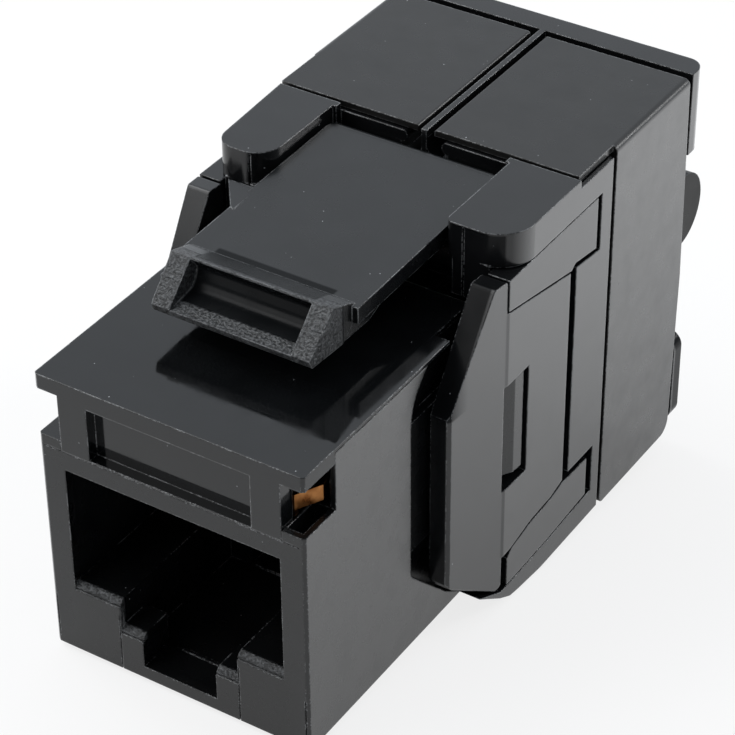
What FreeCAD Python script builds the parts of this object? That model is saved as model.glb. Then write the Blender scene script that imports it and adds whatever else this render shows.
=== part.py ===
import FreeCAD, Part
import math
import os
from FreeCAD import Vector

# Tool-less keystone jack, millimetres.  X to the right, Y from the plug face to the cable end, Z up.
# Origin: middle of the bottom edge of the plug face.

# ---- driving dimensions -------------------------------------------------------------------
SIDE_X = 8.69            # half of the overall width, the outer face of every side piece
FRONT_X = 7.3            # half width of the front body
WAIST_X = 6.5            # half width of the front body behind the clip recess
ROOF_Z = 15.93           # top of the front body
LIP_Z = 15.13            # underside of the roof lip
SEAM_Z = 11.95           # joint between the lower body and the contact insert
NOTCH_X, NOTCH_Y, NOTCH_Z = 6.05, 2.5, 12.55    # open corner notches beside the insert
NOTCH_WALL_X = 6.98                             # inner face of the side wall behind a notch
BODY_END_Y = 15.2        # rear of the front body

PORT_X, PORT_TOP_Z, PORT_FLOOR_Z = 5.95, 10.92, 4.13
PORT_DEPTH = 12.4
STEP_X, STEP_Z = 3.35, 2.6                      # wide latch slot of the port
KEY_X, KEY_Z = 2.1, 0.7                         # narrow latch slot of the port

CONTACT_COUNT = 8
CONTACT_PITCH = 1.02
CONTACT_W = 0.46
LEAD_PITCHES = (1.66, 1.85, 1.5)                # leads fan out behind the plug face, then draw in
LEAD_YS = (1.1, 2.4, 7.0)                       # where those pitches are reached
LEAD_Z = (12.95, 13.8)

BOARD_Y = (15.3, 16.3)
BOARD_X = 6.3
BOARD_Z = (0.4, 15.0)
BOARD_PIN_Z = (13.15, 13.55)                    # contact pins through the board

SHELL_Y = (15.35, 24.8)
SHELL_TOP_Z = 19.9
SLAB_Z = 18.05           # underside of the shell's top slab
EAR_LINE_X = (5.94, 6.02)                       # core line down the front of each ear
SHELL_FLOOR_Z = -1.83
PAD_Z = -2.45
RECESS_X, RECESS_Y = 5.0, 21.2                  # U-shaped recess that the latch lies in
REAR_WALL_Y = (33.15, 34.0)
CABLE_R = 3.2
CABLE_Z = 9.0

WING_Y = (25.15, 33.0)
WING_IN_X = 0.45         # inner edge of a wing's top panel, beside the centre rib
WING_SIDE_X = 7.6        # inner face of a wing's side plate
WING_TOP_Z = 18.95
WING_END_Z = -1.9
TONGUE_X, TONGUE_Y, TONGUE_Z = 8.42, 21.85, 19.55   # thin front part of the top panel
TONGUE_GAP = 0.25        # open joint in front of it
RIB_X = 0.15             # half width of the centre rib between the wings
HINGE_X, HINGE_Z = 1.32, 19.17
HINGE_PIN_R, HINGE_HOLE_R, HINGE_PIN_REACH = 0.2, 0.24, 0.6

ROW_Z = (3.0, 7.0, 11.0, 15.0)                  # wire rows on each side of the terminal block
ROW_H = 1.8
FORK_Y = 28.0
FORK_T = 0.4

LATCH_X = 4.77
LATCH_PIVOT_Y, LATCH_PIVOT_Z = 20.6, 18.8
LATCH_ROOT_R = 0.5


# ---- helpers ------------------------------------------------------------------------------
def block(x, y, z):
    """Box between the limits x, y, z, each a (low, high) pair."""
    return Part.makeBox(x[1] - x[0], y[1] - y[0], z[1] - z[0], Vector(x[0], y[0], z[0]))


def outline(points, place):
    """Closed face through points (u, v) or (u, v, corner radius); place turns (u, v) into a Vector."""
    corners = [(Vector(p[0], p[1], 0), p[2] if len(p) > 2 else 0.0) for p in points]
    edges, ends = [], []
    for i, (corner, radius) in enumerate(corners):
        before = corners[i - 1][0]
        after = corners[(i + 1) % len(corners)][0]
        if radius == 0:
            ends.append((corner, corner))
            continue
        inward = (before - corner).normalize()
        outward = (after - corner).normalize()
        half = inward.getAngle(outward) / 2
        reach = radius / math.tan(half)
        start, end = corner + inward * reach, corner + outward * reach
        bisector = (inward + outward).normalize()
        middle = corner + bisector * (radius / math.sin(half) - radius)
        edges.append(Part.Arc(place(start), place(middle), place(end)).toShape())
        ends.append((start, end))
    for i, (start, end) in enumerate(ends):
        last = ends[i - 1][1]
        if (start - last).Length > 1e-6:
            edges.append(Part.LineSegment(place(last), place(start)).toShape())
    return Part.Face(Part.Wire(Part.__sortEdges__(edges)))


def side_plate(points, x):
    """Prism with its outline (y, z) seen from the side, between x[0] and x[1]."""
    face = outline(points, lambda p: Vector(x[0], p.x, p.y))
    return face.extrude(Vector(x[1] - x[0], 0, 0))


def plan_plate(points, z):
    """Prism with its outline (x, y) seen from above, between z[0] and z[1]."""
    face = outline(points, lambda p: Vector(p.x, p.y, z[0]))
    return face.extrude(Vector(0, 0, z[1] - z[0]))


def front_plate(points, y):
    """Prism with its outline (x, z) seen from the plug end, between y[0] and y[1]."""
    face = outline(points, lambda p: Vector(p.x, y[0], p.y))
    return face.extrude(Vector(0, y[1] - y[0], 0))


def rod_y(x, z, radius, y):
    return Part.makeCylinder(radius, y[1] - y[0], Vector(x, y[0], z), Vector(0, 1, 0))


def rod_x(y, z, radius, x):
    return Part.makeCylinder(radius, x[1] - x[0], Vector(x[0], y, z), Vector(1, 0, 0))


def mirrored(shape):
    return shape.mirror(Vector(0, 0, 0), Vector(1, 0, 0))


def both_sides(shape):
    return [shape, mirrored(shape)]


def joined(shapes):
    result = shapes[0].multiFuse(shapes[1:]) if len(shapes) > 1 else shapes[0]
    return result.removeSplitter()


def save(name, shape):
    os.makedirs("parts", exist_ok=True)
    shape.exportStep("parts/" + name + ".step")


# ---- socket housing: lower front body with the plug port ------------------------------------
RECESS_LINE = [                                  # side outline of the full-width front part
    (0, 0), (13.4, 0), (12.0, 0.97), (8.75, 4.2, 0.6), (8.72, 14.45, 3.2), (10.15, 15.7), (0, 15.7)]


def sill_cut(floor_z, half_width):
    """Room above a port floor; its front sill is a small roll with a groove under it."""
    room = side_plate([(-1, PORT_TOP_Z), (-1, floor_z - 0.3), (0, floor_z - 0.3), (0.3, floor_z, 0.25),
                       (PORT_DEPTH, floor_z), (PORT_DEPTH, PORT_TOP_Z)], (-half_width, half_width))
    groove = side_plate([(-1, floor_z - 0.42), (0.18, floor_z - 0.38), (0.03, floor_z - 0.25),
                         (-1, floor_z - 0.25)], (-half_width, half_width))
    return joined([room, groove])


def plug_port():
    key_cut = block((-KEY_X, KEY_X), (-1, PORT_DEPTH), (KEY_Z, PORT_TOP_Z))
    latch_room = block((-STEP_X, STEP_X), (2.0, 9.0), (KEY_Z - 0.1, STEP_Z + 0.1))
    contact_gate = block((-4.6, 4.6), (1.0, 11.6), (PORT_TOP_Z - 0.1, SEAM_Z + 0.1))
    sills = [sill_cut(PORT_FLOOR_Z, PORT_X), sill_cut(STEP_Z, STEP_X)]
    return joined(sills + [key_cut, latch_room, contact_gate])


def catch_bump():
    """Ramped catch that the window of a clip arm snaps over."""
    return plan_plate([(WAIST_X, 14.95), (7.9, 14.95), (8.55, 16.05), (8.6, 16.75), (WAIST_X, 16.75)],
                      (6.2, 11.85))


def front_corner():
    """Sliver that bevels the vertical corner of the plug face, with a slit beside its foot."""
    bevel = plan_plate([(7.14, -1), (FRONT_X + 1, -1), (FRONT_X + 1, 0.12), (FRONT_X, 0.12), (7.14, 0)],
                       (-1, 20))
    slit = block((7.08, 7.14), (-1, 0.5), (0.4, 3.0))
    core_line = block((STEP_X + 0.02, STEP_X + 0.08), (-1, 0.25), (-1, 3.3))
    seam = block((NOTCH_X, 7.0), (-1, 0.3), (SEAM_Z, SEAM_Z + 0.05))
    return [bevel, slit, core_line, seam]


def socket_housing():
    front = side_plate(RECESS_LINE, (-FRONT_X, FRONT_X))
    waist = block((-WAIST_X, WAIST_X), (8.0, BODY_END_Y), (0, 15.7))
    arm = block((WAIST_X - 0.6, WAIST_X + 0.45), (8.2, 17.15), (5.2, 12.8))
    body = joined([front, waist] + both_sides(arm) + both_sides(catch_bump()))
    lead_room = block((-NOTCH_X, NOTCH_X), (0.9, BODY_END_Y + 3), (SEAM_Z, 20))
    face_room = block((-NOTCH_X - 0.02, NOTCH_X + 0.02), (-1, 1.0), (SEAM_Z, 20))
    upper_room = block((-NOTCH_WALL_X, NOTCH_WALL_X), (0.9, 8.4), (NOTCH_Z, 20))
    rear_room = block((-5.9, 5.9), (PORT_DEPTH + 1.2, 18), (-1, 20))
    board_room = block((-6.38, 6.38), (BODY_END_Y, 18), (-1, 20))
    notch = block((NOTCH_X, 9), (-1, NOTCH_Y), (NOTCH_Z, 20))
    well = block((NOTCH_X + 0.1, NOTCH_WALL_X), (0.35, NOTCH_Y), (SEAM_Z - 0.9, NOTCH_Z + 0.1))
    rooms = [plug_port(), lead_room, face_room, upper_room, rear_room, board_room, well]
    for cut in [notch] + front_corner():
        rooms += both_sides(cut)
    for room in rooms:
        body = body.cut(room)
    hook = side_plate([(10.4, 0.2), (10.4, -0.2), (12.2, -1.5, 0.3), (13.8, -1.5, 0.2), (13.8, 0.2)],
                      (-5.0, 5.0))
    chin = block((-5.9, 5.9), (8.0, 13.9), (0, 0.6))
    stop = block((-1.24, 1.03), (1.9, 2.1), (KEY_Z - 0.15, KEY_Z + 0.04))
    return joined([body, hook, chin, stop])


# ---- contact insert: roof plate, lip and upper front block ----------------------------------
def contact_insert():
    lip = block((-FRONT_X, FRONT_X), (0, NOTCH_Y), (LIP_Z, ROOF_Z))
    skin = block((-FRONT_X, FRONT_X), (NOTCH_Y, 12.05), (15.75, ROOF_Z))
    plate = block((-NOTCH_X + 0.05, NOTCH_X - 0.05), (NOTCH_Y, 15.1), (LIP_Z, ROOF_Z))
    tail = block((-WAIST_X, WAIST_X), (12.0, 15.1), (15.75, ROOF_Z))
    face = block((-NOTCH_X, NOTCH_X), (0, 0.95), (SEAM_Z + 0.03, ROOF_Z))
    insert = joined([lip, skin, plate, tail, face])
    for cut in both_sides(front_corner()[0]):
        insert = insert.cut(cut)
    pocket = block((-4.45, 4.45), (-1, 0.6), (12.05, 14.95))
    insert = insert.cut(pocket)
    teeth = []
    for gap_index in range(CONTACT_COUNT + 1):
        x = (gap_index - CONTACT_COUNT / 2) * CONTACT_PITCH
        teeth.append(block((x - 0.17, x + 0.17), (3.4, 5.6), (11.4, LEAD_Z[0] - 0.1)))
    beam = block((-5.9, 5.9), (3.4, 5.6), (LEAD_Z[0] - 0.35, LEAD_Z[0] - 0.06))
    posts = both_sides(block((4.65, 5.1), (5.0, 5.6), (12.6, LIP_Z + 0.1)))
    return joined([insert, beam] + teeth + posts)


# ---- spring contacts ------------------------------------------------------------------------
def contact(index):
    """One stamped contact: spring run in the port, jogged nose, fanned lead back to the board."""
    place = index - (CONTACT_COUNT - 1) / 2
    half = CONTACT_W / 2
    x_port = place * CONTACT_PITCH
    x_nose, x_fan, x_rear = [place * pitch for pitch in LEAD_PITCHES]
    lead_end = BOARD_Y[0] - 0.6
    spring = side_plate(
        [(1.1, 12.1), (1.1, 11.5, 0.35), (1.6, 11.1, 0.3), (9.2, 7.5), (9.35, 7.75), (1.75, 11.4, 0.2),
         (1.4, 11.65, 0.2), (1.4, 12.1)], (x_port - half, x_port + half))
    nose = front_plate(
        [(x_port - half, 12.0), (x_port + half, 12.0), (x_nose + half, 12.6), (x_nose + half, LEAD_Z[1]),
         (x_nose - half, LEAD_Z[1]), (x_nose - half, 12.6)], (1.1, 1.4))
    centre_line = [(x_nose, LEAD_YS[0]), (x_fan, LEAD_YS[1]), (x_rear, LEAD_YS[2]), (x_rear, lead_end)]
    right_edge = [(x + half, y) for x, y in centre_line]
    left_edge = [(x - half, y) for x, y in reversed(centre_line)]
    lead = plan_plate(right_edge + left_edge, LEAD_Z)
    pin = block((x_rear - 0.2, x_rear + 0.2), (lead_end - 0.1, BOARD_Y[1] + 0.6), BOARD_PIN_Z)
    return joined([spring, nose, lead, pin])


# ---- circuit board ----------------------------------------------------------------------------
def circuit_board():
    board = block((-BOARD_X, BOARD_X), BOARD_Y, BOARD_Z)
    through = (BOARD_Y[0] - 1, BOARD_Y[1] + 1)
    for index in range(CONTACT_COUNT):
        x = (index - (CONTACT_COUNT - 1) / 2) * LEAD_PITCHES[2]
        slot_z = (BOARD_PIN_Z[0] - 0.03, BOARD_PIN_Z[1] + 0.03)
        board = board.cut(block((x - 0.23, x + 0.23), through, slot_z))
    for z in ROW_Z:
        for hole in both_sides(block((3.07, 3.73), through, (z - 1.18, z - 0.62))):
            board = board.cut(hole)
    return board


# ---- insulation displacement terminals --------------------------------------------------------
def terminal(side, z):
    """Slotted fork open towards the wing, on a stalk that runs forward to the board."""
    fork = front_plate([(3.1, z - 1.25), (6.6, z - 1.25), (7.0, z - 0.75), (7.0, z - 0.6), (6.2, z - 0.17),
                        (4.6, z - 0.17), (4.6, z + 0.17), (6.2, z + 0.17), (7.0, z + 0.6), (7.0, z + 0.75),
                        (6.6, z + 1.25), (3.1, z + 1.25)], (FORK_Y - FORK_T / 2, FORK_Y + FORK_T / 2))
    stalk = block((3.1, 3.7), (BOARD_Y[1] + 0.2, FORK_Y), (z - 1.25, z - 0.55))
    pin = block((3.1, 3.7), (BOARD_Y[0] - 0.4, BOARD_Y[1] + 0.3), (z - 1.15, z - 0.65))
    shape = joined([fork, stalk, pin])
    return shape if side > 0 else mirrored(shape)


# ---- terminal block: inner moulding with clip arms and side rails -------------------------------
CLIP_LINE = [
    (10.4, 2.9, 0.3), (10.4, 12.75), (13.9, 18.05, 0.2), (14.93, 17.97, 0.15), (14.93, 16.2),
    (20.9, 15.05), (20.9, 2.5), (19.72, 2.19), (17.72, 2.08), (15.78, 1.65), (14.96, 1.6),
    (14.96, -0.22, 0.2), (14.5, -0.26, 0.2), (10.75, 2.42)]
UPPER_RAIL = [(15.05, 16.28), (21.0, 15.15), (21.35, 15.4), (23.4, 15.1), (23.4, 17.97), (15.05, 17.97)]
LOWER_RAIL = [
    (15.5, -0.5), (15.5, 1.2), (15.95, 1.6), (17.7, 1.9), (19.7, 2.02), (20.9, 2.3), (21.5, 2.25),
    (23.45, 2.2), (23.45, -0.1), (19.5, -0.4)]
RAIL_X = 7.5             # inner face of the clip arms and rails
CORE_X = 7.3


def clip_arm():
    """Window arm that snaps over the catch bump of the front body; its front half leans inward."""
    arm = side_plate(CLIP_LINE, (CORE_X, SIDE_X))
    lean = plan_plate([(CORE_X, 10.3), (8.1, 10.3), (8.34, 10.58), (8.64, 14.9), (SIDE_X, 15.1),
                       (SIDE_X, 21), (RAIL_X, 21), (RAIL_X, 15.0), (CORE_X, 14.9)], (-1, 19))
    window = side_plate([(14.84, 5.75), (17.1, 5.65), (17.1, 12.0), (14.84, 12.0)],
                        (CORE_X - 1, SIDE_X + 1))
    return arm.common(lean).cut(window)


def terminal_block():
    core = block((-CORE_X, CORE_X), (17.4, 24.7), (-0.1, 17.85))
    comb = block((-CORE_X, CORE_X), (24.6, 32.9), (0.7, 17.85))
    bridge = block((CORE_X - 0.1, RAIL_X + 0.1), (17.6, 20.6), (0.2, 17.6))
    upper = side_plate(UPPER_RAIL, (RAIL_X, SIDE_X))
    lower = side_plate(LOWER_RAIL, (RAIL_X, SIDE_X))
    side_parts = [bridge, upper, lower, clip_arm()]
    body = joined([core, comb] + side_parts + [mirrored(part) for part in side_parts])
    chamber = block((-2.9, 2.9), (27.0, 34), (1.6, 16.6))
    front_room = block((-6.4, 6.4), (16, 18.6), (0.6, 15.2))
    body = body.cut(chamber).cut(front_room)
    for z in ROW_Z:
        channel = block((5.2, 8), (24.9, 34), (z - ROW_H / 2, z + ROW_H / 2))
        feed = block((2.8, 8), (30.3, 34), (z - ROW_H / 2, z + ROW_H / 2))
        fork_slot = block((3.0, 8), (FORK_Y - FORK_T / 2 - 0.05, FORK_Y + FORK_T / 2 + 0.05),
                          (z - 1.35, z + 1.35))
        stalk_slot = block((3.0, 3.8), (16, FORK_Y + 0.1), (z - 1.35, z - 0.45))
        for cut in (channel, feed, fork_slot, stalk_slot):
            for side in both_sides(cut):
                body = body.cut(side)
    return body


# ---- body shell: outer moulding around the terminal block --------------------------------------
def ear(front_x, rear_x, inner_round, outer_round):
    """Half of the top slab with one ear beside the latch recess; its outer edge runs front_x to rear_x."""
    slab = plan_plate([(-0.001, RECESS_Y), (RECESS_X, RECESS_Y), (RECESS_X, SHELL_Y[0], inner_round),
                       (front_x, SHELL_Y[0], outer_round), (rear_x, SHELL_Y[1]), (-0.001, SHELL_Y[1])],
                      (SLAB_Z, SHELL_TOP_Z))
    core_line = block(EAR_LINE_X, (SHELL_Y[0] - 1, SHELL_Y[0] + 0.3), (SLAB_Z - 0.1, SHELL_TOP_Z - 0.12))
    return slab.cut(core_line)


def swing_groove():
    """Ring-shaped room for the inner edge of an opening wing, around its hinge."""
    along = (TONGUE_Y - TONGUE_GAP, 26)
    ring = rod_y(HINGE_X, HINGE_Z, 1.2, along).cut(rod_y(HINGE_X, HINGE_Z, TONGUE_Z - HINGE_Z - 0.03, along))
    return ring.common(block((RIB_X, HINGE_X), along, (SLAB_Z + 0.12, SHELL_TOP_Z)))


def shell_top():
    right_ear = ear(SIDE_X, SIDE_X, 0.4, 1.9)
    left_ear = mirrored(ear(8.0, 8.5, 1.4, 1.1))
    deep_slot = block((-RECESS_X + 0.2, RECESS_X - 0.2), (RECESS_Y - 0.2, RECESS_Y + 0.45),
                      (SLAB_Z, SHELL_TOP_Z + 1))
    tongue_bed = block((-SIDE_X - 1, SIDE_X + 1), (TONGUE_Y - TONGUE_GAP, 26),
                       (TONGUE_Z - 0.08, SHELL_TOP_Z + 1))
    top = joined([right_ear, left_ear])
    for cut in [deep_slot, tongue_bed] + both_sides(swing_groove()):
        top = top.cut(cut)
    return top


def shell_sides():
    """Side wall behind the clip arm, below the rails and above them."""
    rear = side_plate([(21.5, 2.65), (24.05, 2.65), (24.05, -0.5), (21.9, -0.6), (21.9, -1.75),
                       (SHELL_Y[1], -1.75), (SHELL_Y[1], SLAB_Z + 0.2), (23.8, SLAB_Z + 0.2), (23.8, 14.8),
                       (21.5, 15.05)], (RAIL_X, SIDE_X))
    under = side_plate([(12.9, 0.42), (15.0, -0.62), (19.5, -0.52), (24.05, -0.25), (SHELL_Y[1], -0.25),
                        (SHELL_Y[1], -1.75), (18.95, SHELL_FLOOR_Z), (16.7, -1.62), (15.9, -1.5, 0.6),
                        (14.9, -0.96)], (WAIST_X, SIDE_X))
    return [rear, under]


def shell_rear():
    band = plan_plate([(-8.6, REAR_WALL_Y[0]), (8.6, REAR_WALL_Y[0]), (8.6, 34.55, 0.9), (-8.6, 34.55, 0.9)],
                      (15.2, SHELL_TOP_Z))
    wall = block((-7.2, 7.2), REAR_WALL_Y, (-1.3, 15.3))
    lug = front_plate([(5.2, -1.75), (8.6, -1.75, 0.8), (8.6, 3.7, 0.8), (5.2, 3.7)], REAR_WALL_Y)
    rib = block((-RIB_X, RIB_X), (21.6, REAR_WALL_Y[0] + 0.1), (17.95, SHELL_TOP_Z))
    keel = block((-5.8, 5.8), (24.6, REAR_WALL_Y[0] + 0.1), (-1.3, -0.1))
    return [band, wall, rib, keel] + both_sides(lug)


def body_shell():
    side_parts = shell_sides()
    front_block = block((5.4, 7.4), (15.35, 16.2), (ROOF_Z + 0.05, SLAB_Z + 0.1))
    front_block = front_block.cut(block(EAR_LINE_X, (15.2, 15.65), (ROOF_Z, SLAB_Z + 1)))
    cheek = block((6.9, 7.4), (16.1, 17.3), (ROOF_Z + 0.05, SLAB_Z + 0.1))
    floor = block((-WAIST_X - 0.1, WAIST_X + 0.1), (15.0, 24.8), (-1.6, -0.5))
    pad = side_plate([(21.9, -1.0), (21.9, PAD_Z, 0.3), (25.05, PAD_Z, 0.3), (25.05, -1.0)], (5.0, 8.2))
    inner_wall = block((-7.4, 7.4), (24.8, 25.0), (-1.3, -0.3))
    shell = joined([shell_top(), floor, inner_wall] + side_parts + [mirrored(s) for s in side_parts]
                   + both_sides(front_block) + both_sides(cheek) + both_sides(pad) + shell_rear())
    cable_hole = rod_y(0, CABLE_Z, CABLE_R, (REAR_WALL_Y[0] - 1, 36))
    shell = shell.cut(cable_hole)
    hinge_hole = rod_y(HINGE_X, HINGE_Z, HINGE_HOLE_R,
                       (WING_Y[0] - HINGE_PIN_REACH - 0.1, REAR_WALL_Y[0] + HINGE_PIN_REACH + 0.1))
    for side in both_sides(hinge_hole):
        shell = shell.cut(side)
    return shell


# ---- latch ----------------------------------------------------------------------------------------
def press_tab():
    """Thumb tab at the front of the latch, with a scooped face."""
    side = side_plate([(8.75, 18.9), (8.3, 19.2, 0.3), (6.9, 19.68), (5.05, 17.85), (5.2, 17.4, 0.15),
                       (7.6, 17.35), (8.75, 18.4)], (-LATCH_X, LATCH_X))
    plan = plan_plate([(-4.3, 4.8, 0.4), (4.3, 4.8, 0.4), (4.47, 8.9), (-4.47, 8.9)], (17, 20))
    scoop = side_plate([(4.0, 20.2), (6.83, 20.2), (6.83, 19.6), (7.3, 19.0, 0.3), (7.0, 18.1, 0.7),
                        (5.2, 17.82), (4.0, 17.7)], (-3.31, 3.31))
    return side.common(plan).cut(scoop)


def latch_arm():
    rise = 0.3 / 12.9
    root_y = LATCH_PIVOT_Y + LATCH_ROOT_R
    plate_line = [(8.3, 19.0), (8.3, 18.15), (root_y, LATCH_PIVOT_Z - LATCH_ROOT_R, 0.49),
                  (root_y, 19.0 + rise * 12.85, 0.49)]
    plan = plan_plate([(-LATCH_X, 8.2), (LATCH_X, 8.2), (LATCH_X, root_y, 0.5), (-LATCH_X, root_y, 0.9)],
                      (17, 20))
    plate = side_plate(plate_line, (-LATCH_X, LATCH_X)).common(plan)
    barb = plan_plate([(-4.5, 11.9), (-4.77, 12.07), (-6.2, 13.96), (-4.5, 13.96)], (18.3, 19.12))
    web = side_plate([(6.0, 17.45), (9.8, 17.36), (12.4, 18.3), (6.0, 18.9)], (3.75, 4.4))
    root = rod_x(LATCH_PIVOT_Y, LATCH_PIVOT_Z, LATCH_ROOT_R, (-4.3, 4.3))
    return joined([plate, barb, press_tab(), root] + both_sides(web))


def latch_post():
    """Root block of the latch, standing on the terminal block under the recess."""
    post = block((-4.3, 4.3), (19.8, 21.05), (17.8, 18.6))
    post = post.cut(rod_x(LATCH_PIVOT_Y, LATCH_PIVOT_Z, LATCH_ROOT_R + 0.06, (-5, 5)))
    return post.cut(block((-5, 5), (19, LATCH_PIVOT_Y + 0.05), (18.1, 19)))


# ---- wings ------------------------------------------------------------------------------------------
def wing():
    """Right wing: side plate and top panel in one moulding, with pressing ribs and hinge pins."""
    section = [(WING_IN_X, WING_TOP_Z), (WING_IN_X, SHELL_TOP_Z, 0.12), (SIDE_X, SHELL_TOP_Z, 0.35),
               (SIDE_X, WING_END_Z), (WING_SIDE_X, WING_END_Z), (WING_SIDE_X, WING_TOP_Z)]
    angle = front_plate(section, (WING_Y[0], WING_Y[1] + 0.2))
    side_line = side_plate([(WING_Y[0], WING_END_Z, 0.3), (WING_Y[1] - 0.3, WING_END_Z, 0.8),
                            (WING_Y[1], 8.0), (WING_Y[1] - 0.35, SHELL_TOP_Z), (WING_Y[0], SHELL_TOP_Z)],
                           (0, SIDE_X))
    tongue = front_plate([(WING_IN_X, TONGUE_Z), (WING_IN_X, SHELL_TOP_Z, 0.12), (TONGUE_X, SHELL_TOP_Z),
                          (TONGUE_X, TONGUE_Z)], (TONGUE_Y, WING_Y[0] + 0.1))
    tab = rod_x(33.1, 11.8, 2.1, (7.75, 8.5)).cut(block((0, 10), (30, 32.5), (0, 20)))
    ribs = []
    for z in ROW_Z:
        tip = 6.5 if z < 12 else 6.85
        for y in (26.6, 29.0):
            ribs.append(block((tip, WING_SIDE_X + 0.2), (y - 0.35, y + 0.35), (z - 0.65, z + 0.05)))
    pin_ends = (WING_Y[0] - HINGE_PIN_REACH, REAR_WALL_Y[0] + HINGE_PIN_REACH)
    pins = rod_y(HINGE_X, HINGE_Z, HINGE_PIN_R, pin_ends)
    return joined([angle.common(side_line), tongue, tab, pins] + ribs)


# ---- write the parts ----------------------------------------------------------------------------------
save("socket_housing", socket_housing())
save("contact_insert", contact_insert())
for number in range(CONTACT_COUNT):
    save("contact_%d" % (number + 1), contact(number))
save("circuit_board", circuit_board())
for number, (side, z) in enumerate([(side, z) for side in (-1, 1) for z in ROW_Z]):
    save("terminal_%d" % (number + 1), terminal(side, z))
save("terminal_block", joined([terminal_block(), latch_post()]))
save("body_shell", body_shell())
save("latch_arm", latch_arm())
right_wing = wing()
save("wing_right", right_wing)
save("wing_left", mirrored(right_wing))
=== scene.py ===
import math
import bpy
from mathutils import Matrix, Vector

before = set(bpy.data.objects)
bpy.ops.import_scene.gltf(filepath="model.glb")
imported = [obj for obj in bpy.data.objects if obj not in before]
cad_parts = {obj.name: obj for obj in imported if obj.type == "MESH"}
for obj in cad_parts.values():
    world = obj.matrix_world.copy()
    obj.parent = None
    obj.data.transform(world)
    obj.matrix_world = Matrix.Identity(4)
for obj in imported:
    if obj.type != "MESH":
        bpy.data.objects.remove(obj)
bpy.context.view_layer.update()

# ---- front body --------------------------------------------------------------------------
# The lower front body is one ABS moulding: the plug port, the two catch bumps and the hook under
# the chin.  Its mould was polished, but spark-eroded on the rounded sills of the port, whose high
# spots carry a painted glint.  In the room of the port and the waist between the clip arms the
# specular is lowered: painted shade.

MM = 0.001


def dress(node, material):
    """Gives a piece its material."""
    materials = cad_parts[node].data.materials
    materials.clear()
    materials.append(material)


def add(tree, kind, **values):
    """New node of a material, with its settings."""
    node = tree.nodes.new(kind)
    for name, value in values.items():
        setattr(node, name, value)
    return node


def combine(tree, operation, first, second):
    """Math node; each operand is a number or an output."""
    node = add(tree, "ShaderNodeMath", operation=operation)
    for index, value in enumerate((first, second)):
        if isinstance(value, (int, float)):
            node.inputs[index].default_value = value
        else:
            tree.links.new(value, node.inputs[index])
    return node.outputs["Value"]


def noise(tree, place, scale, detail, stretch=(1, 1, 1)):
    """Noise per millimetre; stretch squeezes it into a grain."""
    grain = add(tree, "ShaderNodeVectorMath", operation="MULTIPLY")
    grain.inputs[1].default_value = stretch
    tree.links.new(place, grain.inputs[0])
    texture = add(tree, "ShaderNodeTexNoise")
    texture.inputs["Scale"].default_value = scale
    texture.inputs["Detail"].default_value = detail
    tree.links.new(grain.outputs["Vector"], texture.inputs["Vector"])
    return texture.outputs["Fac"]


def spread(tree, value, start, end, low=0.0, high=1.0):
    """Turns the range start..end of a value into low..high."""
    ramp = add(tree, "ShaderNodeMapRange")
    for name, number in (("From Min", start), ("From Max", end), ("To Min", low), ("To Max", high)):
        ramp.inputs[name].default_value = number
    tree.links.new(value, ramp.inputs["Value"])
    return ramp.outputs["Result"]


def blend(tree, factor, first, second):
    """Colour mix; each colour is a tuple or an output."""
    mix = add(tree, "ShaderNodeMix", data_type="RGBA")
    tree.links.new(factor, mix.inputs["Factor"])
    for name, colour in (("A", first), ("B", second)):
        if isinstance(colour, tuple):
            mix.inputs[name].default_value = (*colour, 1)
        else:
            tree.links.new(colour, mix.inputs[name])
    return mix.outputs["Result"]


def parts_of(tree, vector):
    """The X, Y and Z outputs of a vector."""
    split = add(tree, "ShaderNodeSeparateXYZ")
    tree.links.new(vector, split.inputs["Vector"])
    return split.outputs


def start_material(name, metallic=0.0):
    """New material with its tree, its shader and the place on the piece in millimetres."""
    material = bpy.data.materials.new(name)
    material.use_nodes = True
    tree = material.node_tree
    surface = tree.nodes["Principled BSDF"]
    surface.inputs["IOR"].default_value = 1.49
    surface.inputs["Metallic"].default_value = metallic
    where = add(tree, "ShaderNodeTexCoord")
    place = add(tree, "ShaderNodeVectorMath", operation="SCALE")
    place.inputs["Scale"].default_value = 1 / MM
    tree.links.new(where.outputs["Object"], place.inputs[0])
    return material, tree, surface, place.outputs["Vector"]


HALF_BORDER = 0.05                # of the soft border of a box, millimetres


def within(tree, place, box):
    """1 inside the box, which is a (low, high) for each of x, y and z, and 0 outside."""
    axes = parts_of(tree, place)
    inside = 1
    for axis, (low, high) in zip("XYZ", box):
        for edge, inward in ((low, HALF_BORDER), (high, -HALF_BORDER)):
            ramp = spread(tree, axes[axis], edge - inward, edge + inward)
            inside = combine(tree, "MULTIPLY", inside, ramp)
    return inside


EDGE_ROUND = 0.1 * MM             # radius that a mould leaves on the edges


def round_normal(tree):
    """Normal that turns smoothly round the edges."""
    bevel = add(tree, "ShaderNodeBevel", samples=6)
    bevel.inputs["Radius"].default_value = EDGE_ROUND
    return bevel.outputs["Normal"]


def edge_wear_and_highlight(tree, place, rounded, share):
    """1 in short broken runs along the edges, 0 elsewhere; share widens the runs.  The runs are
    partly rubbed edges and partly painted edge highlight.
    """
    flat = add(tree, "ShaderNodeNewGeometry")
    turn = add(tree, "ShaderNodeVectorMath", operation="DOT_PRODUCT")
    tree.links.new(rounded, turn.inputs[0])
    tree.links.new(flat.outputs["Normal"], turn.inputs[1])
    edge = spread(tree, turn.outputs["Value"], 0.985, 0.92)
    runs = combine(tree, "MULTIPLY", noise(tree, place, 1.1, 3), noise(tree, place, 9, 2))
    return combine(tree, "MULTIPLY", edge, spread(tree, runs, 0.36 - share, 0.44 - share))


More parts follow.
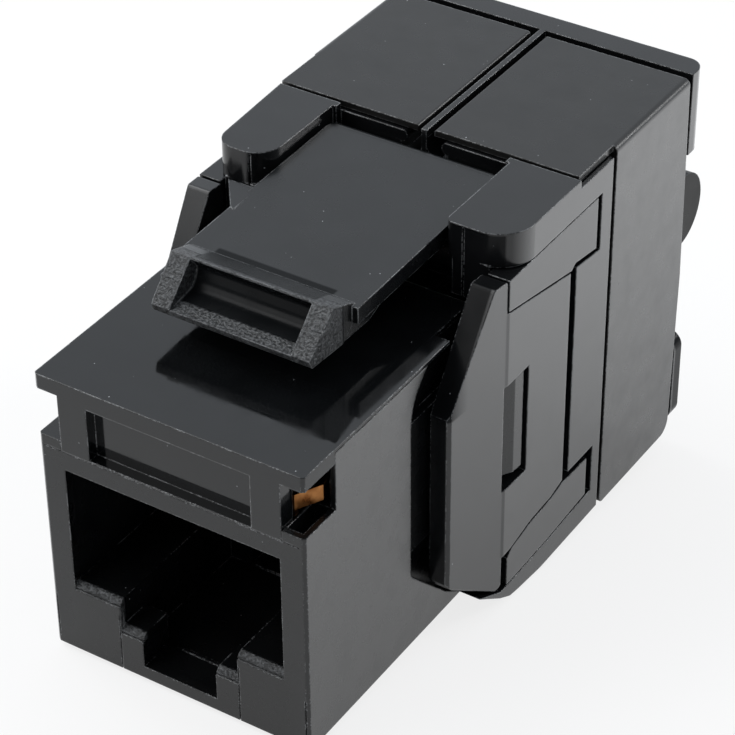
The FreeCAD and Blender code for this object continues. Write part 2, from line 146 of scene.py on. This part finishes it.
def dust_specks(tree, place, dust):
    """1 on small round specks; dust is the share of the cells that hold one."""
    cells = add(tree, "ShaderNodeTexVoronoi")
    cells.inputs["Scale"].default_value = 2.4
    tree.links.new(place, cells.inputs["Vector"])
    chance = add(tree, "ShaderNodeSeparateColor")
    tree.links.new(cells.outputs["Color"], chance.inputs["Color"])
    size = spread(tree, chance.outputs["Green"], 0, 1, 0.03, 0.1)
    near = combine(tree, "LESS_THAN", cells.outputs["Distance"], size)
    few = combine(tree, "LESS_THAN", chance.outputs["Red"], dust)
    return combine(tree, "MULTIPLY", near, few)


def painted_flank_sheen(tree, place, foot, head):
    """Strength of the painted sheen on faces that look sideways, foot at the bottom and head at the top.
    """
    where = add(tree, "ShaderNodeTexCoord")
    sideways = combine(tree, "ABSOLUTE", parts_of(tree, where.outputs["Normal"])["X"], 0)
    strength = spread(tree, parts_of(tree, place)["Z"], 0, FLANK_TOP, foot, head)
    return combine(tree, "MULTIPLY", spread(tree, sideways, 0.75, 0.95), strength)


DUST_GREY = (0.28, 0.29, 0.3)
PIT_GLINT_GREY = (0.14, 0.145, 0.15)    # painted glint on the high spots of a coarse skin
WORN_AND_HIGHLIGHT_GREY = (0.2, 0.205, 0.21)    # rubbed edges, partly painted edge highlight
PIT_DEPTH = 0.1                   # of a coarse skin, millimetres
SHEEN, PAINTED_SHADE_LEVEL = 0.5, 0.1            # specular levels of an open face and of one under painted shade
FLANK_TOP = 18                    # height at which the painted sheen of the flanks reaches its upper strength, millimetres


def black_moulding(name, dark, light, rough, grain=0.0012, dust=0.1, wear_and_highlight=0.12,
                   coarse=None, painted_shade_boxes=(), flank_sheen=None):
    """Black ABS: mottled colour, uneven gloss, fine mould grain, a little dust, and rubbed edges
    that also carry a painted edge highlight.  Inside the box coarse it has the skin that spark
    erosion leaves, with a painted glint on its high spots, and inside the other boxes its specular
    is lowered as painted shade.  Its upright sides carry a painted sheen, given as its strength at
    their bottom and at their top."""
    material, tree, surface, place = start_material(name)
    rounded = round_normal(tree)
    colour = blend(tree, spread(tree, noise(tree, place, 0.45, 4), 0.3, 0.7), dark, light)
    colour = blend(tree, dust_specks(tree, place, dust), colour, DUST_GREY)
    gloss = spread(tree, noise(tree, place, 0.8, 5), 0.3, 0.7, rough - 0.05, rough + 0.06)
    height = combine(tree, "MULTIPLY", noise(tree, place, 14, 2), grain)

    # Lowered specular inside the given boxes: painted shade.
    painted_shade = 0
    for box in painted_shade_boxes:
        painted_shade = combine(tree, "MAXIMUM", painted_shade, within(tree, place, box))
    if painted_shade_boxes:
        tree.links.new(spread(tree, painted_shade, 0, 1, SHEEN, PAINTED_SHADE_LEVEL), surface.inputs["Specular IOR Level"])
    if coarse:
        zone = within(tree, place, coarse)
        zone = combine(tree, "MULTIPLY", zone, combine(tree, "SUBTRACT", 1, painted_shade))
        pits = noise(tree, place, 7.5, 4)
        pit_height = combine(tree, "MULTIPLY", pits, PIT_DEPTH)
        height = combine(tree, "ADD", height, combine(tree, "MULTIPLY", zone, pit_height))
        # Pale high spots on the coarse skin: painted glint.
        pit_glint = combine(tree, "MULTIPLY", zone, spread(tree, pits, 0.4, 0.8))
        colour = blend(tree, pit_glint, colour, PIT_GLINT_GREY)
        gloss = combine(tree, "ADD", gloss, combine(tree, "MULTIPLY", zone, 0.12))
    # Painted sheen on the upright sides, stronger towards the top.
    if flank_sheen:
        coat = combine(tree, "MULTIPLY", painted_flank_sheen(tree, place, *flank_sheen),
                       combine(tree, "SUBTRACT", 1, painted_shade))
        tree.links.new(coat, surface.inputs["Coat Weight"])
        surface.inputs["Coat Roughness"].default_value = 0.2
        surface.inputs["Coat IOR"].default_value = 1.58
    # Pale broken runs on the edges: partly rubbed edges, partly painted edge highlight.
    colour = blend(tree, edge_wear_and_highlight(tree, place, rounded, wear_and_highlight), colour, WORN_AND_HIGHLIGHT_GREY)

    relief = add(tree, "ShaderNodeBump")
    relief.inputs["Distance"].default_value = MM
    tree.links.new(rounded, relief.inputs["Normal"])
    tree.links.new(rounded, surface.inputs["Coat Normal"])
    tree.links.new(height, relief.inputs["Height"])
    tree.links.new(colour, surface.inputs["Base Color"])
    tree.links.new(gloss, surface.inputs["Roughness"])
    tree.links.new(relief.outputs["Normal"], surface.inputs["Normal"])
    return material


PORT_SILLS = ((-5.94, 5.94), (0.06, 0.42), (2.2, 4.2))
# Room of the port and waist: boxes of painted shade, where the specular is lowered.
PORT_ROOM = ((-6, 6), (0.45, 13), (0.6, 11))
WAIST = ((-7.2, 7.2), (8.95, 16), (0.5, 15.6))

front_black = black_moulding("front_black", (0.0035, 0.0038, 0.0042), (0.006, 0.0064, 0.0068), 0.26,
                             coarse=PORT_SILLS, painted_shade_boxes=[PORT_ROOM, WAIST], flank_sheen=(0.3, 0.8))
dress("socket_housing", front_black)

# ---- contact insert ----------------------------------------------------------------------
# The insert closes the body from above and carries the comb for the contacts.  Its roof is the
# smoothest face of the jack, bright enough to mirror the latch over it.

roof_black = black_moulding("roof_black", (0.003, 0.0034, 0.0038), (0.005, 0.0056, 0.0062), 0.08,
                            grain=0.0003)
dress("contact_insert", roof_black)

# ---- contacts ----------------------------------------------------------------------------
# Eight springs stamped from strip of a copper alloy.  Each leans back into the port from its
# nose, and its lead runs over the comb of the insert to the board.


def bare_metal(name, dark, light, rough):
    """Rolled strip: colour and gloss in streaks along its length."""
    material, tree, surface, place = start_material(name, 1.0)
    streaks = noise(tree, place, 1.0, 4, (6, 0.8, 2))
    tone = blend(tree, spread(tree, streaks, 0.3, 0.7), dark, light)
    gloss = spread(tree, streaks, 0.3, 0.7, rough - 0.08, rough + 0.08)
    tree.links.new(tone, surface.inputs["Base Color"])
    tree.links.new(gloss, surface.inputs["Roughness"])
    return material


copper = bare_metal("contact_copper", (0.16, 0.055, 0.014), (0.42, 0.19, 0.065), 0.35)
for number in range(1, 9):
    dress("contact_%d" % number, copper)

# ---- circuit board -----------------------------------------------------------------------
# A small upright board of glass epoxy under green lacquer.  It joins each contact to its terminal,
# and the pins of both go through it.

board_green = black_moulding("board_green", (0.01, 0.06, 0.02), (0.015, 0.09, 0.03), 0.3,
                             grain=0.0006, dust=0.02)
dress("circuit_board", board_green)

# ---- terminals ---------------------------------------------------------------------------
# Eight forks of tinned bronze, four a side, each on a stalk that runs forward to the board.  Their
# slots cut through the insulation of the wires.

tinned = bare_metal("terminal_tin", (0.42, 0.41, 0.38), (0.66, 0.65, 0.62), 0.35)
for number in range(1, 9):
    dress("terminal_%d" % number, tinned)

# ---- terminal block ----------------------------------------------------------------------
# The inner moulding, with the side rails, the combs that hold the wires and the clip arms, whose
# windows snap over the bumps of the front body.  On the front slope of its right arm the specular
# is lowered: painted shade.

RIGHT_ARM_SLOPE = ((7, 8.38), (10.3, 14.2), (12.6, 18.2))

block_black = black_moulding("block_black", (0.004, 0.0043, 0.0048), (0.007, 0.0074, 0.008), 0.2,
                             painted_shade_boxes=[RIGHT_ARM_SLOPE], flank_sheen=(0.3, 0.9))
dress("terminal_block", block_black)

# ---- body shell --------------------------------------------------------------------------
# The outer moulding slides over the terminal block from behind, with its ears, centre rib and
# rear band.  On the front of its right ear and the outer edge of its right lug the specular is
# lowered: painted shade.

RIGHT_EAR_FRONT = ((5, 8), (15.2, 16.9), (16, 19.8))
RIGHT_LUG_EDGE = ((8, 8.7), (33.3, 34.2), (-2, 3.8))

shell_black = black_moulding("shell_black", (0.004, 0.0043, 0.0048), (0.007, 0.0074, 0.008), 0.2,
                             wear_and_highlight=0.15, painted_shade_boxes=[RIGHT_EAR_FRONT, RIGHT_LUG_EDGE], flank_sheen=(0.2, 1.0))
dress("body_shell", shell_black)

# ---- latch -------------------------------------------------------------------------------
# The latch springs over the panel edge.  The skin of its press tab is coarse, so that a thumb
# grips it, and its high spots carry a painted glint.  Deep in its scoop the tab is smooth, and
# its specular is lowered there: painted shade.

PRESS_TAB = ((-6, 6), (4, 7.6), (17, 19.7))
SCOOP_DEPTH = ((-3.25, 3.25), (5.9, 9), (17.85, 19.6))

latch_black = black_moulding("latch_black", (0.004, 0.0045, 0.005), (0.007, 0.0078, 0.0085), 0.24,
                             wear_and_highlight=0.18, coarse=PRESS_TAB, painted_shade_boxes=[SCOOP_DEPTH])
dress("latch_arm", latch_black)

# ---- wings -------------------------------------------------------------------------------
# Two angle-shaped covers that swing up on pins beside the centre rib and press the wires home.
# On the half-round tabs at their rear edges the specular is lowered: painted shade.

REAR_TABS = ((-9, 9), (33.1, 36), (9, 14.5))

wing_black = black_moulding("wing_black", (0.006, 0.006, 0.0058), (0.010, 0.0098, 0.0093), 0.3,
                            dust=0.14, wear_and_highlight=0.15, painted_shade_boxes=[REAR_TABS], flank_sheen=(0.3, 1.0))
for side in ("right", "left"):
    dress("wing_" + side, wing_black)

# ---- floor -------------------------------------------------------------------------------
# A sheet of white paper with a glow of its own, so that it keeps only a weak shadow.  The jack
# rests on its hook and its two pads, so the sheet slopes down under it towards the rear.

PAD_DROP, PAD_REACH = 0.95, 9.8   # the pads stand this much lower than the hook, this far behind it
TILT = math.atan2(PAD_DROP, PAD_REACH)
SHEET_Z = -0.31 * MM              # below the bottom edge of the plug face
SEEN_GLOW, MIRRORED_GLOW = 0.8, 0.55

paper, tree, surface, place = start_material("paper")
fibres = noise(tree, place, 0.05, 3)
tree.links.new(blend(tree, fibres, (0.85, 0.85, 0.85), (0.88, 0.88, 0.88)), surface.inputs["Base Color"])
surface.inputs["Roughness"].default_value = 0.9
surface.inputs["Specular IOR Level"].default_value = 0.1
ray = add(tree, "ShaderNodeLightPath")
seen = combine(tree, "ADD", ray.outputs["Is Camera Ray"], ray.outputs["Is Transmission Ray"])
seen = combine(tree, "MULTIPLY", seen, SEEN_GLOW)
mirrored = combine(tree, "MULTIPLY", ray.outputs["Is Glossy Ray"], MIRRORED_GLOW)
share = combine(tree, "MINIMUM", combine(tree, "ADD", seen, mirrored), SEEN_GLOW)
glow = add(tree, "ShaderNodeEmission")
mixed = add(tree, "ShaderNodeMixShader")
tree.links.new(share, mixed.inputs["Fac"])
tree.links.new(surface.outputs["BSDF"], mixed.inputs[1])
tree.links.new(glow.outputs["Emission"], mixed.inputs[2])
tree.links.new(mixed.outputs["Shader"], tree.nodes["Material Output"].inputs["Surface"])
bpy.ops.mesh.primitive_plane_add(size=1.6, location=(0, 0, SHEET_Z), rotation=(-TILT, 0, 0))
floor = bpy.context.object
floor.name = "floor"
floor.data.materials.append(paper)

# ---- lamps and room ----------------------------------------------------------------------
# Soft lamps hang on the left and in front on the left, and a narrow one behind on the right
# catches the edges.  The room is brightest behind the jack, up on the left.

JACK_MIDDLE = Vector((0, 0.017, 0.009))


def lamp(name, place, size, power):
    """Square lamp aimed at the middle of the jack."""
    light = bpy.data.lights.new(name, "AREA")
    light.shape = "SQUARE"
    light.size = size
    light.energy = power
    holder = bpy.data.objects.new(name, light)
    bpy.context.collection.objects.link(holder)
    holder.location = place
    holder.rotation_euler = (JACK_MIDDLE - Vector(place)).to_track_quat("-Z", "Y").to_euler()


lamp("lamp_left", (-0.28, -0.02, 0.34), 0.3, 1.0)
lamp("lamp_front", (-0.2, -0.3, 0.3), 0.22, 0.38)
lamp("lamp_edge", (0.26, 0.3, 0.2), 0.1, 0.45)

world = bpy.data.worlds.new("studio")
bpy.context.scene.world = world
world.use_nodes = True
tree = world.node_tree
where = add(tree, "ShaderNodeTexCoord")
facing = add(tree, "ShaderNodeVectorMath", operation="DOT_PRODUCT")
facing.inputs[1].default_value = (-0.45, 0.75, 0.48)
tree.links.new(where.outputs["Generated"], facing.inputs[0])
brightness = spread(tree, facing.outputs["Value"], -0.4, 0.8)
room = blend(tree, brightness, (0.2, 0.21, 0.22), (0.86, 0.91, 0.97))
tree.links.new(room, tree.nodes["Background"].inputs["Color"])

# ---- camera ------------------------------------------------------------------------------
# A long lens looks down on the jack from in front on the right.  The camera is rolled by half a
# degree about its line of sight.

CAMERA_PLACE = Vector((0.061157, -0.078156, 0.090887))
SENSOR, LENS = 36, 138.52         # millimetres
AZIMUTH, ELEVATION, ROLL = math.radians(32.89), math.radians(36.05), math.radians(-0.47)
back = Vector((math.sin(AZIMUTH) * math.cos(ELEVATION), -math.cos(AZIMUTH) * math.cos(ELEVATION),
               math.sin(ELEVATION)))
right = (-back).cross(Vector((0, 0, 1))).normalized()
up = right.cross(-back)
turned_right = right * math.cos(ROLL) + up * math.sin(ROLL)
turned_up = up * math.cos(ROLL) - right * math.sin(ROLL)
camera_data = bpy.data.cameras.new("camera")
camera_data.sensor_width = SENSOR
camera_data.lens = LENS
camera_data.clip_start, camera_data.clip_end = 0.01, 10
camera = bpy.data.objects.new("camera", camera_data)
bpy.context.collection.objects.link(camera)
turn = Matrix((turned_right, turned_up, back)).transposed().to_4x4()
camera.matrix_world = Matrix.Translation(CAMERA_PLACE) @ turn
bpy.context.scene.camera = camera
bpy.context.scene.view_settings.view_transform = "Standard"
